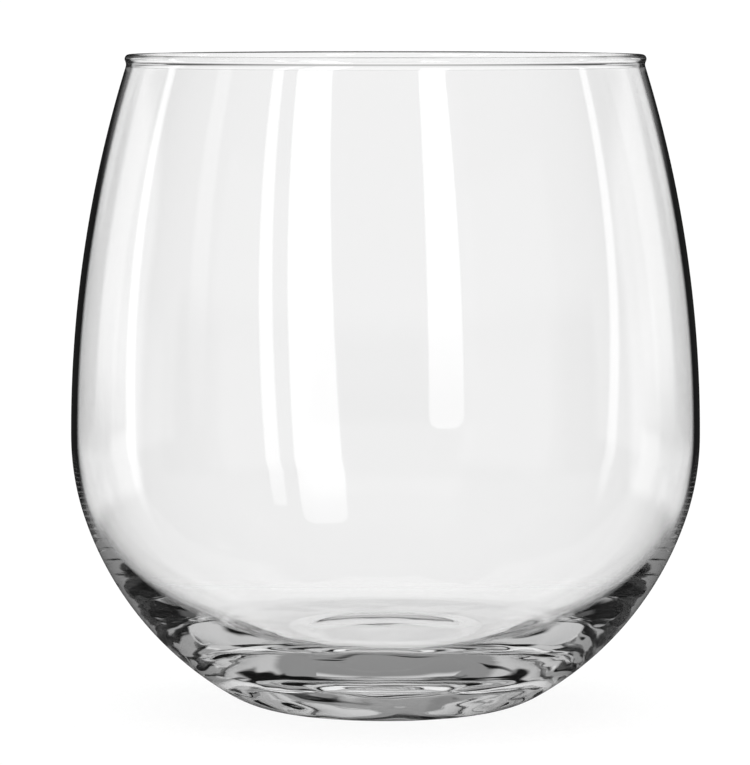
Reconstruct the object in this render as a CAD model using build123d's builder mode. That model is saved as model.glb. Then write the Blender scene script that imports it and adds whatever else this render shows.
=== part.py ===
import math
import os

from build123d import *

# Stemless wine glass, blown in one piece of clear glass. Millimetres, +Z up, with the origin
# at the centre of the plane that the foot rests on.

# Overall sizes
height = 102.2  # resting plane to the top of the rim
belly_diameter = 98.4  # widest part of the bowl
belly_height = 42.8  # height of the widest part
rim_diameter = 81.2  # outside of the rim bead

# Fire-polished bead round the rim
bead_diameter = 1.4
bead_overhang = 0.35  # how far the bead stands out past the wall under it
neck_radius = 1.2  # hollow round from the wall into the bead

# Outside of the bowl, from the belly down to the foot
shoulder_radius = 40.5
shoulder_angle = 19.0  # degrees that the shoulder turns below the belly
knuckle_radius = 17.2  # round turn from the bowl into the foot
foot_diameter = 32.0  # outer edge of the flat resting ring

# Shallow recess under the foot
recess_diameter = 26.0  # inner edge of the resting ring
recess_depth = 1.6

# Inside of the bowl
belly_wall = 1.1  # glass at the belly
heel_radius = 15.0  # round turn from the wall into the floor
floor_diameter = 43.0  # edge of the floor, where the heel starts
floor_radius = 400.0  # slight hollow of the floor
base_thickness = 6.4  # glass under the middle of the floor

os.makedirs("parts", exist_ok=True)


def tangent_end(start, normal, centre, radius):
    """Where an arc that leaves start square to normal runs tangent into a circle.

    normal is the unit vector from the arc's centre to start. radius is the circle's, positive
    where the circle lies within the arc's own circle and negative where it lies outside.
    """
    reach = start - centre
    arc_radius = (reach.dot(reach) - radius**2) / (2 * (reach.dot(normal) - radius))
    arc_centre = start - normal * arc_radius
    return arc_centre + (centre - arc_centre) * (arc_radius / (arc_radius - radius))


# Points of the wall's section: X is the distance from the axis and Y is the height
outward = Vector(1, 0)
upward = Vector(0, 1)

belly = Vector(belly_diameter / 2, belly_height)
shoulder_normal = outward.rotate(Axis.Z, -shoulder_angle)
shoulder_end = belly + (shoulder_normal - outward) * shoulder_radius
foot_edge = Vector(foot_diameter / 2, 0)
knuckle_centre = foot_edge + upward * knuckle_radius
knuckle_end = tangent_end(shoulder_end, shoulder_normal, knuckle_centre, knuckle_radius)

bead_radius = bead_diameter / 2
bead_centre = Vector(rim_diameter / 2 - bead_radius, height - bead_radius)
bead_top = bead_centre + upward * bead_radius
neck_angle = math.degrees(math.acos(1 - bead_overhang / bead_radius))
wall_top = bead_centre + outward.rotate(Axis.Z, -neck_angle) * bead_radius

inner_belly = belly - outward * belly_wall
inner_wall_top = tangent_end(inner_belly, outward, bead_centre, -bead_radius)
underside = upward * recess_depth
floor = underside + upward * base_thickness
floor_angle = math.degrees(math.asin(floor_diameter / 2 / floor_radius))
floor_normal = (-upward).rotate(Axis.Z, floor_angle)
floor_edge = floor + (floor_normal + upward) * floor_radius
heel_centre = floor_edge - floor_normal * heel_radius
heel_end = tangent_end(inner_belly, outward, heel_centre, heel_radius)

# Glass bowl: one closed section turned about the axis
with BuildPart() as glass_bowl:
    with BuildSketch(Plane.XZ) as section:
        with BuildLine():
            Line(floor, underside)
            TangentArc(underside, (recess_diameter / 2, 0), tangent=outward)
            Line((recess_diameter / 2, 0), foot_edge)
            knuckle = TangentArc(foot_edge, knuckle_end, tangent=outward)
            bowl = TangentArc(knuckle_end, shoulder_end, tangent=knuckle % 1)
            TangentArc(shoulder_end, belly, tangent=bowl % 1)
            TangentArc(belly, wall_top, tangent=upward)
            ThreePointArc(wall_top, bead_top, inner_wall_top)
            TangentArc(inner_belly, inner_wall_top, tangent=upward)
            TangentArc(inner_belly, heel_end, tangent=-upward)
            hollow = TangentArc(floor, floor_edge, tangent=outward)
            TangentArc(floor_edge, heel_end, tangent=hollow % 1)
        make_face()
        neck_corner = section.vertices().sort_by_distance(wall_top)[0]
        fillet(neck_corner, radius=neck_radius)
    revolve(axis=Axis.Z)
glass_bowl.part.label = "glass_bowl"
export_step(glass_bowl.part, "parts/glass_bowl.step")
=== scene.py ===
import math

import bpy
import numpy as np
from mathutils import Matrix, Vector


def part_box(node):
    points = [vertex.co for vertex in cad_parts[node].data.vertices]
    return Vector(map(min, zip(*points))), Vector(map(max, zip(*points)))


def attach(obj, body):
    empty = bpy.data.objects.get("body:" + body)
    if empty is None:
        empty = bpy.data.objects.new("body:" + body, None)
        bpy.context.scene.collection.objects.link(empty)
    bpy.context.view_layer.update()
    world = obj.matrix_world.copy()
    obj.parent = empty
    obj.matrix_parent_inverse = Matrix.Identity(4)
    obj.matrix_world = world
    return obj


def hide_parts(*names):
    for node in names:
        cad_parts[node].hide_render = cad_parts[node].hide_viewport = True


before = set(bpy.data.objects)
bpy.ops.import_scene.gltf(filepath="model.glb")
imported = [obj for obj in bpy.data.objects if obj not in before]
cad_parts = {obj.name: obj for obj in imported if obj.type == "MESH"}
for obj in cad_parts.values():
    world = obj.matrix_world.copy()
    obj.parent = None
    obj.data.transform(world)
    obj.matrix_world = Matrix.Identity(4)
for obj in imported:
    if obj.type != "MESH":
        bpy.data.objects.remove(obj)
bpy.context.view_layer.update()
bowlLow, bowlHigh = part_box("glass_bowl")


# glass bowl

glassBowl = {  # metres and degrees, beside the height and belly that the frame gives
    "rimDiameter": 0.0812,
    "beadDiameter": 0.0014,
    "beadOverhang": 0.00035,
    "neckRadius": 0.0012,
    "bellyHeight": 0.0428,
    "shoulderRadius": 0.0405,
    "shoulderAngle": 19.0,
    "knuckleRadius": 0.0172,
    "footDiameter": 0.032,
    "recessDiameter": 0.026,
    "recessDepth": 0.0016,
    "bellyWall": 0.0011,
    "heelRadius": 0.015,
    "floorDiameter": 0.043,
    "floorRadius": 0.4,
    "baseThickness": 0.0064,
    "waveHeight": 0.000014,  # slight unevenness of the thick base
    "waveLengths": (0.004, 0.013),  # shortest and longest
    "waveCount": 11,
    "waveTop": 0.02,  # no waves inside above this height
    "turns": 288,  # points round the axis
    "step": 0.0009,  # longest step along the section
}


def arcRow(centre, radius, startAngle, endAngle, step):
    # points at centre + radius * (cos, sin), with the angle running evenly from start to end
    count = max(12, int(abs(radius * (endAngle - startAngle)) / step) + 1)
    angle = np.linspace(startAngle, endAngle, count)
    return np.column_stack((centre[0] + radius * np.cos(angle), centre[1] + radius * np.sin(angle)))


def tangentCircle(start, normal, centre, radius):
    # circle through start with this normal, tangent to the circle at centre: its radius R
    # solves |start - R normal - centre| = R - radius, with radius negative for a circle outside
    reach = start - centre
    size = (reach @ reach - radius ** 2) / (2 * (reach @ normal - radius))
    return start - normal * size, size


def angleOf(point, centre):
    return math.atan2(point[1] - centre[1], point[0] - centre[0])


def bowlSection(size, height, bellyRadius):
    # the glass in section, as (distance from the axis, height) rows of tangent arcs, from the
    # middle of the underside out and up to the rim and down the inside to the middle of the floor
    step = size["step"]
    outward = np.array((1.0, 0.0))
    upward = np.array((0.0, 1.0))
    belly = np.array((bellyRadius, size["bellyHeight"]))

    recessEdge = size["recessDiameter"] / 2
    recessRadius = (recessEdge ** 2 + size["recessDepth"] ** 2) / (2 * size["recessDepth"])
    recessCentre = upward * (size["recessDepth"] - recessRadius)
    recessTurn = math.asin(recessEdge / recessRadius)
    recess = arcRow(recessCentre, recessRadius, math.pi / 2, math.pi / 2 - recessTurn, step)

    shoulderTurn = math.radians(size["shoulderAngle"])
    shoulderNormal = np.array((math.cos(shoulderTurn), -math.sin(shoulderTurn)))
    shoulderCentre = belly - outward * size["shoulderRadius"]
    shoulderEnd = shoulderCentre + shoulderNormal * size["shoulderRadius"]
    knuckleRadius = size["knuckleRadius"]
    knuckleCentre = np.array((size["footDiameter"] / 2, knuckleRadius))
    lowerCentre, lowerRadius = tangentCircle(shoulderEnd, shoulderNormal, knuckleCentre, knuckleRadius)
    knuckleAngle = angleOf(knuckleCentre, lowerCentre)
    knuckle = arcRow(knuckleCentre, knuckleRadius, -math.pi / 2, knuckleAngle, step)
    lower = arcRow(lowerCentre, lowerRadius, knuckleAngle, -shoulderTurn, step)
    shoulder = arcRow(shoulderCentre, size["shoulderRadius"], -shoulderTurn, 0.0, step)

    beadRadius = size["beadDiameter"] / 2
    beadCentre = np.array((size["rimDiameter"] / 2 - beadRadius, height - beadRadius))
    neckAngle = -math.acos(1 - size["beadOverhang"] / beadRadius)
    wallTop = beadCentre + beadRadius * np.array((math.cos(neckAngle), math.sin(neckAngle)))
    reach = wallTop - belly
    wallRadius = -(reach @ reach) / (2 * reach[0])
    wallCentre = belly - outward * wallRadius
    # the neck circle lies outside both the wall and the bead
    span = beadCentre - wallCentre
    along = np.linalg.norm(span)
    toWall = wallRadius + size["neckRadius"]
    toBead = beadRadius + size["neckRadius"]
    offset = (along ** 2 + toWall ** 2 - toBead ** 2) / (2 * along)
    square = np.array((span[1], -span[0])) / along
    neckCentre = wallCentre + span / along * offset + square * math.sqrt(toWall ** 2 - offset ** 2)
    wallTopAngle = angleOf(neckCentre, wallCentre)
    beadStart = angleOf(neckCentre, beadCentre)
    wall = arcRow(wallCentre, wallRadius, 0.0, wallTopAngle, step)
    neck = arcRow(neckCentre, size["neckRadius"], wallTopAngle + math.pi, beadStart + math.pi, step)

    innerBelly = belly - outward * size["bellyWall"]
    insideCentre, insideRadius = tangentCircle(innerBelly, outward, beadCentre, -beadRadius)
    insideTop = angleOf(beadCentre, insideCentre)
    bead = arcRow(beadCentre, beadRadius, beadStart, insideTop + math.pi, step / 8)
    inside = arcRow(insideCentre, insideRadius, insideTop, 0.0, step)

    floor = upward * (size["recessDepth"] + size["baseThickness"])
    floorCentre = floor + upward * size["floorRadius"]
    floorTurn = math.asin(size["floorDiameter"] / 2 / size["floorRadius"])
    floorEdge = floorTurn - math.pi / 2
    heelRadius = size["heelRadius"]
    heelReach = size["floorRadius"] - heelRadius
    heelCentre = floorCentre + heelReach * np.array((math.cos(floorEdge), math.sin(floorEdge)))
    roundCentre, roundRadius = tangentCircle(innerBelly, outward, heelCentre, heelRadius)
    heelTop = angleOf(heelCentre, roundCentre)
    innerRound = arcRow(roundCentre, roundRadius, 0.0, heelTop, step)
    heel = arcRow(heelCentre, heelRadius, heelTop, floorEdge, step / 2)
    floorArc = arcRow(floorCentre, size["floorRadius"], floorEdge, -math.pi / 2, step)

    rows = [recess, knuckle, lower, shoulder, wall, neck, bead, inside, innerRound, heel, floorArc]
    section = np.vstack(rows)
    keep = np.ones(len(section), bool)
    keep[1:] = np.linalg.norm(np.diff(section, axis=0), axis=1) > step / 100

    # how far each row takes part in the waves: the recess up to its edge, and the inside low down
    under = np.clip(1 - (recess[:, 0] / recessEdge) ** 4, 0, 1)
    outer = np.zeros(sum(len(row) for row in rows[1:7]))
    inner = np.vstack(rows[7:])[:, 1]
    low = np.clip((size["waveTop"] - inner) / (size["waveTop"] - floor[1]), 0, 1)
    share = np.concatenate((under, outer, low * low * (3 - 2 * low)))
    return section[keep], share[keep]


def glassWaves(x, y, size):
    # sum of height_k cos(2 pi (x cos a_k + y sin a_k) / length_k + phase_k): lengths grow evenly in
    # ratio from shortest to longest, heights grow with them, and the angles turn by the golden angle
    shortest, longest = size["waveLengths"]
    number = np.arange(size["waveCount"])
    length = shortest * (longest / shortest) ** (number / (size["waveCount"] - 1))
    turn = number * math.pi * (3 - math.sqrt(5))
    along = x[..., None] * np.cos(turn) + y[..., None] * np.sin(turn)
    wave = np.cos(2 * math.pi * along / length + number ** 2)
    return (size["waveHeight"] * length / longest * wave).sum(axis=-1)


def turnedMesh(name, section, share, size):
    # point (i, j) = (radius_i cos t_j, radius_i sin t_j, height_i + share_i waves); both ends meet
    # on the axis
    turns = size["turns"]
    angle = np.linspace(0.0, 2 * math.pi, turns, endpoint=False)
    x = section[:, 0, None] * np.cos(angle)
    y = section[:, 0, None] * np.sin(angle)
    height = section[:, 1, None] + share[:, None] * glassWaves(x, y, size)
    rings = np.stack((x, y, height), axis=-1)
    poles = rings[(0, -1), 0]
    points = np.vstack((rings[1:-1].reshape(-1, 3), poles))

    count = len(section) - 2
    first = np.arange(turns)
    second = (first + 1) % turns
    row = np.arange(count - 1)[:, None] * turns
    quads = np.stack((row + first, row + second, row + turns + second, row + turns + first), axis=-1)
    bottomPole = np.full(turns, count * turns)
    last = (count - 1) * turns
    bottomFan = np.column_stack((bottomPole, second, first))
    topFan = np.column_stack((bottomPole + 1, last + first, last + second))
    corners = np.concatenate((quads.ravel(), bottomFan.ravel(), topFan.ravel())).astype(np.int32)
    sizes = np.concatenate((np.full(quads.size // 4, 4), np.full(2 * turns, 3)))
    starts = np.concatenate(((0,), np.cumsum(sizes)[:-1])).astype(np.int32)

    mesh = bpy.data.meshes.new(name)
    mesh.vertices.add(len(points))
    mesh.vertices.foreach_set("co", points.astype(np.float32).ravel())
    mesh.loops.add(len(corners))
    mesh.loops.foreach_set("vertex_index", corners)
    mesh.polygons.add(len(starts))
    mesh.polygons.foreach_set("loop_start", starts)
    mesh.polygons.foreach_set("use_smooth", np.ones(len(starts), bool))
    mesh.update(calc_edges=True)
    return mesh


def addObject(name, mesh):
    made = bpy.data.objects.new(name, mesh)
    bpy.context.scene.collection.objects.link(made)
    return made


def makeGlassBowl(size):
    height = bowlHigh[2] - bowlLow[2]
    bellyRadius = min(bowlHigh[0], -bowlLow[0])
    section, share = bowlSection(size, height, bellyRadius)
    bowl = addObject("glassBowl", turnedMesh("glassBowl", section, share, size))
    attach(bowl, "root")
    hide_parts("glass_bowl")
    print("glass bowl made, section points", len(section))
    return bowl


# clear glass

clearGlass = {
    "colour": (1.0, 1.0, 1.0, 1.0),
    "ior": 1.52,
    "roughness": 0.0,
    "shade": (0.98, 0.98, 0.98, 1.0),  # what each face lets through to the floor
}


def makeClearGlass(look):
    material = bpy.data.materials.new("clearGlass")
    material.use_nodes = True
    tree = material.node_tree
    shader = tree.nodes["Principled BSDF"]
    shader.inputs["Base Color"].default_value = look["colour"]
    shader.inputs["Transmission Weight"].default_value = 1.0
    shader.inputs["Roughness"].default_value = look["roughness"]
    shader.inputs["IOR"].default_value = look["ior"]
    # light on its way to the floor passes straight through, so the shadow is as faint as a glass casts
    path = tree.nodes.new("ShaderNodeLightPath")
    shade = tree.nodes.new("ShaderNodeBsdfTransparent")
    shade.inputs["Color"].default_value = look["shade"]
    surface = shader.outputs[0]
    for ray in ("Is Shadow Ray", "Is Diffuse Ray"):
        mix = tree.nodes.new("ShaderNodeMixShader")
        tree.links.new(path.outputs[ray], mix.inputs[0])
        tree.links.new(surface, mix.inputs[1])
        tree.links.new(shade.outputs[0], mix.inputs[2])
        surface = mix.outputs[0]
    tree.links.new(surface, tree.nodes["Material Output"].inputs["Surface"])
    print("clear glass made")
    return material


# studio: pale floor, world and camera

studio = {
    "floorSize": 0.07,  # radius
    "floorTurns": 128,
    "floorFade": (0.028, 0.064),  # distances from the axis between which it melts into the white below
    "floorColour": (0.98, 0.98, 0.98, 1.0),
    "floorRoughness": 0.9,
    "fill": 1.03,  # level of the light from all round
    "straightLevel": 1.0,  # white surroundings, as seen straight through the glass
    "straightHigh": 20.0,  # elevation where they end above, in degrees
    "straightHighSoft": 8.0,
    "straightDark": (-64.0, -34.0),  # elevations below where they are dark, as seen past one wall
    "straightDarkSoft": 4.0,
    "straightHalf": 30.0,  # half width of that dark, about straight behind the glass
    "straightHalfSoft": 6.0,
    # what the glass shows where it turns light back inside: a dark room with the backdrop, the table and
    # the lights in it, each from and to so many degrees from straight behind, low and high in elevation
    "roomLevel": 0.004,
    "patchSoft": 2.0,
    "patches": (
        {"from": -5.0, "to": 28.0, "low": 2.0, "high": 26.0, "level": 0.29},
        {"from": -5.0, "to": 28.0, "low": 26.0, "high": 75.0, "level": 0.75},
        {"from": 28.0, "to": 37.0, "low": 2.0, "high": 60.0, "level": 0.6},
        {"from": 37.0, "to": 47.0, "low": 8.0, "high": 60.0, "level": 0.6},
        {"from": 47.0, "to": 62.0, "low": -3.0, "high": 60.0, "level": 0.65},
        {"from": 62.0, "to": 72.0, "low": 13.0, "high": 60.0, "level": 0.1},
        {"from": 112.0, "to": 150.0, "low": -11.0, "high": 20.0, "level": 0.3},
        {"from": -5.0, "to": 30.0, "low": -60.0, "high": -12.0, "level": 0.4},
        {"from": 30.0, "to": 60.0, "low": -60.0, "high": -6.0, "level": 0.65},
        {"from": 60.0, "to": 90.0, "low": -60.0, "high": 3.0, "level": 0.4},
        {"from": 90.0, "to": 185.0, "low": -95.0, "high": -12.0, "level": 0.4},
        {"from": 146.0, "to": 185.0, "low": 2.0, "high": 42.0, "level": 0.25},
    ),
    "mirrorLevel": 0.02,  # dark room that the faces reflect, beside the panels
    # light from beside the backdrop that the faces reflect near the outline: a panel as below, but in
    # degrees from straight behind
    "glow": {"at": 54.0, "lean": 0.0, "half": 26.0, "low": -16.0, "high": 14.0, "corner": (8.0, 6.0),
             "soft": 3.0, "fade": 1.0, "dim": 1.0, "level": 1.3},
    "leanFrom": -9.0,  # panels stand upright below this elevation
    "leanMiddle": 10.0,  # elevation at which a panel is where its "at" says
    # upright light panels: degrees to the right of the camera, turn per degree of elevation, half
    # width, lowest and highest elevation, corner across and up, soft edge, degrees over which the
    # low end brightens, its level beside the rest, and level
    "panels": (
        {"at": -109.5, "lean": -0.32, "half": 2.6, "low": -20.0, "high": 38.0, "corner": (2.4, 12.0),
         "soft": 1.4, "fade": 25.0, "dim": 0.4, "level": 2.6},
        {"at": -74.5, "lean": -0.3, "half": 4.0, "low": -3.0, "high": 38.0, "corner": (3.5, 8.0),
         "soft": 1.2, "fade": 25.0, "dim": 0.3, "level": 1.0},
        {"at": -45.3, "lean": -0.3, "half": 2.7, "low": -23.0, "high": 38.0, "corner": (1.2, 2.0),
         "soft": 0.6, "fade": 25.0, "dim": 0.45, "level": 3.2},
        {"at": -27.9, "lean": -0.26, "half": 8.6, "low": -31.0, "high": 38.0, "corner": (4.0, 4.0),
         "soft": 0.6, "fade": 25.0, "dim": 0.45, "level": 3.4},
        {"at": 21.8, "lean": 0.0, "half": 6.3, "low": -2.1, "high": 38.0, "corner": (4.4, 1.2),
         "soft": 0.6, "fade": 12.0, "dim": 0.7, "level": 3.4},
        {"at": 96.0, "lean": 0.47, "half": 2.4, "low": -18.0, "high": 38.0, "corner": (2.2, 12.0),
         "soft": 1.2, "fade": 25.0, "dim": 0.4, "level": 2.8},
    ),
}


def mathNode(tree, operation, *values):
    # one maths node; each value is a number or the socket that feeds it
    node = tree.nodes.new("ShaderNodeMath")
    node.operation = operation
    for socket, value in zip(node.inputs, values):
        if isinstance(value, bpy.types.NodeSocket):
            tree.links.new(value, socket)
        else:
            socket.default_value = value
    return node.outputs[0]


def softStep(tree, value, low, high):
    # 0 below low, 1 above high, smooth between; low may be the larger
    node = tree.nodes.new("ShaderNodeMapRange")
    node.interpolation_type = "SMOOTHSTEP"
    tree.links.new(value, node.inputs["Value"])
    node.inputs["From Min"].default_value = low
    node.inputs["From Max"].default_value = high
    return node.outputs[0]


def panelMask(tree, across, elevation, panel, setup):
    # level inside a rectangle with round corners, whose middle leans by elevation: with right and up
    # as the distances past the inner box over the corner, 1 where sqrt(right^2 + up^2) is under 1
    wide, tall = panel["corner"]
    middle = (panel["low"] + panel["high"]) / 2
    half = (panel["high"] - panel["low"]) / 2
    turn = mathNode(tree, "MAXIMUM", elevation, setup["leanFrom"])
    turn = mathNode(tree, "SUBTRACT", turn, setup["leanMiddle"])
    turn = mathNode(tree, "MULTIPLY", turn, panel["lean"])
    away = mathNode(tree, "SUBTRACT", mathNode(tree, "SUBTRACT", across, turn), panel["at"])
    right = mathNode(tree, "SUBTRACT", mathNode(tree, "ABSOLUTE", away), panel["half"] - wide)
    right = mathNode(tree, "DIVIDE", mathNode(tree, "MAXIMUM", right, 0.0), wide)
    up = mathNode(tree, "ABSOLUTE", mathNode(tree, "SUBTRACT", elevation, middle))
    up = mathNode(tree, "SUBTRACT", up, half - tall)
    up = mathNode(tree, "DIVIDE", mathNode(tree, "MAXIMUM", up, 0.0), tall)
    gap = mathNode(tree, "MULTIPLY", right, right)
    gap = mathNode(tree, "MULTIPLY_ADD", up, up, gap)
    soft = panel["soft"] / wide
    mask = softStep(tree, mathNode(tree, "SQRT", gap), 1 + soft, 1 - soft)
    rise = softStep(tree, elevation, panel["low"], panel["low"] + panel["fade"])
    rise = mathNode(tree, "MULTIPLY_ADD", rise, 1 - panel["dim"], panel["dim"])
    return mathNode(tree, "MULTIPLY", mathNode(tree, "MULTIPLY", mask, rise), panel["level"])


def makeWorld(setup):
    world = bpy.data.worlds.new("studio")
    bpy.context.scene.world = world
    world.use_nodes = True
    tree = world.node_tree
    background = tree.nodes["Background"]
    direction = tree.nodes.new("ShaderNodeSeparateXYZ")
    tree.links.new(tree.nodes.new("ShaderNodeTexCoord").outputs["Generated"], direction.inputs[0])
    x, y, z = direction.outputs
    degrees = 180 / math.pi
    front = mathNode(tree, "ARCTAN2", x, mathNode(tree, "MULTIPLY", y, -1.0))
    front = mathNode(tree, "MULTIPLY", front, degrees)
    elevation = mathNode(tree, "MULTIPLY", mathNode(tree, "ARCSINE", z), degrees)

    behind = mathNode(tree, "SUBTRACT", 180.0, mathNode(tree, "ABSOLUTE", front))
    path = tree.nodes.new("ShaderNodeLightPath")
    glossy = path.outputs["Is Glossy Ray"]
    through = path.outputs["Is Transmission Ray"]

    # dark room with its patches
    soft = setup["patchSoft"]
    room = mathNode(tree, "ADD", setup["roomLevel"], 0.0)
    for patch in setup["patches"]:
        inner = softStep(tree, behind, patch["from"] - soft, patch["from"] + soft)
        outer = softStep(tree, behind, patch["to"] + soft, patch["to"] - soft)
        lower = softStep(tree, elevation, patch["low"] - soft, patch["low"] + soft)
        upper = softStep(tree, elevation, patch["high"] + soft, patch["high"] - soft)
        wide = mathNode(tree, "MULTIPLY", inner, outer)
        tall = mathNode(tree, "MULTIPLY", lower, upper)
        lit = mathNode(tree, "MULTIPLY", mathNode(tree, "MULTIPLY", wide, tall), patch["level"])
        room = mathNode(tree, "ADD", room, lit)

    # straight through the glass: white, with dark above and a dark zone below, which draw the rim
    top = setup["straightHigh"]
    soft = setup["straightHighSoft"]
    white = softStep(tree, elevation, top + soft, top - soft)
    lowest, highest = setup["straightDark"]
    soft = setup["straightDarkSoft"]
    dark = softStep(tree, elevation, lowest - soft, lowest + soft)
    dark = mathNode(tree, "MULTIPLY", dark, softStep(tree, elevation, highest + soft, highest - soft))
    half = setup["straightHalf"]
    soft = setup["straightHalfSoft"]
    dark = mathNode(tree, "MULTIPLY", dark, softStep(tree, behind, half + soft, half - soft))
    # the dark below only shows past one wall, that is two faces, as at the far rim
    oneWall = mathNode(tree, "LESS_THAN", path.outputs["Transmission Depth"], 2.5)
    dark = mathNode(tree, "MULTIPLY", dark, oneWall)
    white = mathNode(tree, "MULTIPLY", white, mathNode(tree, "SUBTRACT", 1.0, dark))
    white = mathNode(tree, "MULTIPLY", white, setup["straightLevel"])

    # light that was turned back at least once sees the room
    turned = mathNode(tree, "MINIMUM", path.outputs["Glossy Depth"], 1.0)
    wall = tree.nodes.new("ShaderNodeMix")
    tree.links.new(turned, wall.inputs["Factor"])
    tree.links.new(white, wall.inputs["A"])
    tree.links.new(room, wall.inputs["B"])

    # the outer faces reflect the glow and the panels
    mirrored = mathNode(tree, "SUBTRACT", glossy, through)
    glow = panelMask(tree, behind, elevation, setup["glow"], setup)
    lights = mathNode(tree, "ADD", glow, setup["mirrorLevel"])
    for panel in setup["panels"]:
        lights = mathNode(tree, "ADD", lights, panelMask(tree, front, elevation, panel, setup))
    pick = tree.nodes.new("ShaderNodeMix")
    tree.links.new(mathNode(tree, "MAXIMUM", mirrored, 0.0), pick.inputs["Factor"])
    tree.links.new(wall.outputs["Result"], pick.inputs["A"])
    tree.links.new(lights, pick.inputs["B"])
    seen = pick.outputs["Result"]

    # other light, such as the floor's, sees an even fill, and the camera sees white
    shiny = mathNode(tree, "MAXIMUM", glossy, through)
    mix = tree.nodes.new("ShaderNodeMix")
    tree.links.new(shiny, mix.inputs["Factor"])
    mix.inputs["A"].default_value = setup["fill"]
    tree.links.new(seen, mix.inputs["B"])
    level = mathNode(tree, "MAXIMUM", mix.outputs["Result"], path.outputs["Is Camera Ray"])
    tree.links.new(level, background.inputs["Strength"])
    background.inputs["Color"].default_value = (1.0, 1.0, 1.0, 1.0)
    print("studio world made, panels", len(setup["panels"]))


def makeFloor(setup):
    # flat disc: edge points size * (cos t, sin t, 0), filled by one face
    turns = setup["floorTurns"]
    angle = np.linspace(0.0, 2 * math.pi, turns, endpoint=False)
    edge = np.column_stack((np.cos(angle), np.sin(angle), np.zeros(turns))) * setup["floorSize"]
    mesh = bpy.data.meshes.new("paleFloor")
    mesh.from_pydata(edge.tolist(), [], [list(range(turns))])
    floor = addObject("paleFloor", mesh)
    floor.visible_glossy = False
    material = bpy.data.materials.new("paleFloor")
    material.use_nodes = True
    tree = material.node_tree
    shader = tree.nodes["Principled BSDF"]
    shader.inputs["Base Color"].default_value = setup["floorColour"]
    shader.inputs["Roughness"].default_value = setup["floorRoughness"]
    shader.inputs["Specular IOR Level"].default_value = 0.0
    place = tree.nodes.new("ShaderNodeTexCoord")
    distance = tree.nodes.new("ShaderNodeVectorMath")
    distance.operation = "LENGTH"
    tree.links.new(place.outputs["Object"], distance.inputs[0])
    fade = softStep(tree, distance.outputs["Value"], *setup["floorFade"])
    clear = tree.nodes.new("ShaderNodeBsdfTransparent")
    mix = tree.nodes.new("ShaderNodeMixShader")
    tree.links.new(fade, mix.inputs[0])
    tree.links.new(shader.outputs[0], mix.inputs[1])
    tree.links.new(clear.outputs[0], mix.inputs[2])
    tree.links.new(mix.outputs[0], tree.nodes["Material Output"].inputs["Surface"])
    mesh.materials.append(material)
    print("floor made")


view = {
    "distance": 0.764,  # from the axis of the glass
    "height": 0.112,
    "aim": (-0.00164, 0.0, 0.0509),
    "lens": 230.35,  # millimetres on a 36 mm wide film
}


def makeCamera(setup):
    data = bpy.data.cameras.new("photoView")
    data.lens = setup["lens"]
    data.sensor_width = 36.0
    data.clip_end = 100.0
    camera = addObject("photoView", data)
    camera.location = (0.0, -setup["distance"], setup["height"])
    look = Vector(setup["aim"]) - camera.location
    camera.rotation_euler = look.to_track_quat("-Z", "Y").to_euler()
    bpy.context.scene.camera = camera
    print("camera made")


bowl = makeGlassBowl(glassBowl)
bowl.data.materials.append(makeClearGlass(clearGlass))
makeWorld(studio)
makeFloor(studio)
makeCamera(view)
bpy.context.scene.view_settings.view_transform = "Standard"
light = bpy.context.scene.cycles
bounces = 100  # light in the thick base is turned back many times before it leaves
light.max_bounces = bounces
light.glossy_bounces = bounces
light.transmission_bounces = bounces
